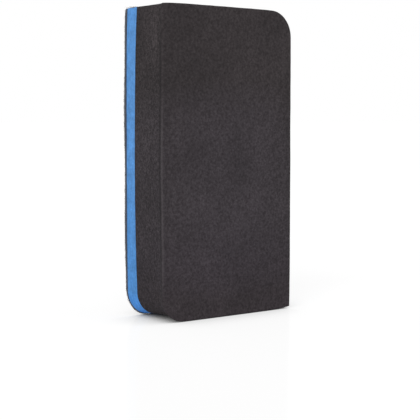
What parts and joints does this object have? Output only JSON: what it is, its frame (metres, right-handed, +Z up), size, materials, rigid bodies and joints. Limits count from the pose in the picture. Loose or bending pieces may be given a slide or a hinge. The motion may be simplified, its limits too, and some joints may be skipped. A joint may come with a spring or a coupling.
{
  "type": "board eraser",
  "caption": "Hand-held board eraser, a slab of laminated foam and felt with two opposite corners rounded, magnets sealed behind the felt, standing on a short end.",
  "frame": {"origin": "middle of the standing end, on the surface that the eraser stands on", "axes": "+Z up along the length, +Y from the grip face to the wiping face, +X across the width, to the right for someone facing the grip face"},
  "size_m": [0.08, 0.031, 0.15],
  "materials": {
    "grip_foam": "matte",
    "cushion_foam": "matte",
    "felt": "matte",
    "adhesive_film": "satin",
    "ferrite": "satin"
  },
  "bodies": {
    "root": {"grip_block": "grip_foam", "block_adhesive": "adhesive_film", "cushion_sheet": "cushion_foam", "felt_adhesive": "adhesive_film", "felt_pad": "felt", "magnet_1": "ferrite", "magnet_2": "ferrite", "magnet_3": "ferrite", "magnet_4": "ferrite"}
  },
  "joints": []
}
